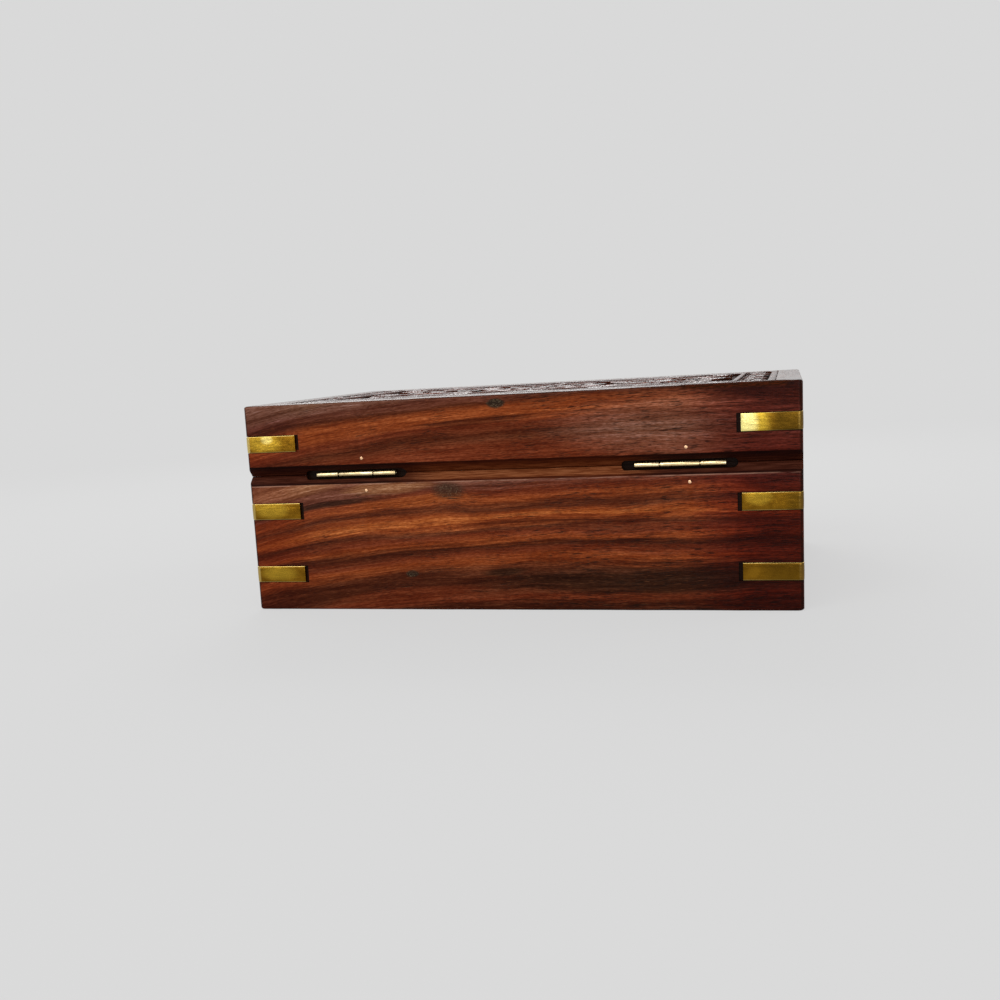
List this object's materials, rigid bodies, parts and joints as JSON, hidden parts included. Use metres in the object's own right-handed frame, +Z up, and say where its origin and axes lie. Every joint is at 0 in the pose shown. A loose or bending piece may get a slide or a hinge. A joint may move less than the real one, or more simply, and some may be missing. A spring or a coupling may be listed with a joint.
{
  "type": "carved jewelry box",
  "caption": "Rectangular hardwood jewelry box with a hinged lid, a foliate carved top panel, brass corner straps let in flush, pinned brass hinges and a velvet lining.",
  "frame": {"origin": "centre of the underside, on the surface that the box stands on", "axes": "+X to the right seen from the front, along the length; +Y to the rear, where the hinges are; +Z up"},
  "size_m": [0.2032, 0.1462, 0.0783],
  "materials": {
    "wood": "polished",
    "carved_wood": "waxed",
    "panel_wood": "plain",
    "brass": "brushed, tarnished",
    "velvet": "short pile"
  },
  "bodies": {
    "base": {"base_front_board": "wood", "base_rear_board": "wood", "base_left_board": "wood", "base_right_board": "wood", "base_bottom_panel": "panel_wood", "base_upper_strap_front_left": "brass", "base_lower_strap_front_left": "brass", "base_upper_strap_front_right": "brass", "base_lower_strap_front_right": "brass", "base_upper_strap_rear_left": "brass", "base_lower_strap_rear_left": "brass", "base_upper_strap_rear_right": "brass", "base_lower_strap_rear_right": "brass", "hinge_left_lower_leaf": "brass", "hinge_left_pin": "brass", "hinge_left_lower_brad": "brass", "hinge_right_lower_leaf": "brass", "hinge_right_pin": "brass", "hinge_right_lower_brad": "brass", "base_front_lining": "velvet", "base_rear_lining": "velvet", "base_left_lining": "velvet", "base_right_lining": "velvet", "base_floor_pad": "velvet"},
    "lid": {"lid_front_board": "wood", "lid_rear_board": "wood", "lid_left_board": "wood", "lid_right_board": "wood", "lid_carved_panel": "carved_wood", "lid_strap_front_left": "brass", "lid_strap_front_right": "brass", "lid_strap_rear_left": "brass", "lid_strap_rear_right": "brass", "hinge_left_upper_leaf": "brass", "hinge_left_upper_brad": "brass", "hinge_right_upper_leaf": "brass", "hinge_right_upper_brad": "brass", "lid_front_lining": "velvet", "lid_rear_lining": "velvet", "lid_left_lining": "velvet", "lid_right_lining": "velvet", "lid_ceiling_pad": "velvet"}
  },
  "joints": [
    {"name": "lid_hinge", "type": "hinge", "parent": "base", "child": "lid", "pos_m": [0, 0.0701, 0.05135], "axis": [-1, 0, 0], "range_deg": [0, 99]}
  ]
}
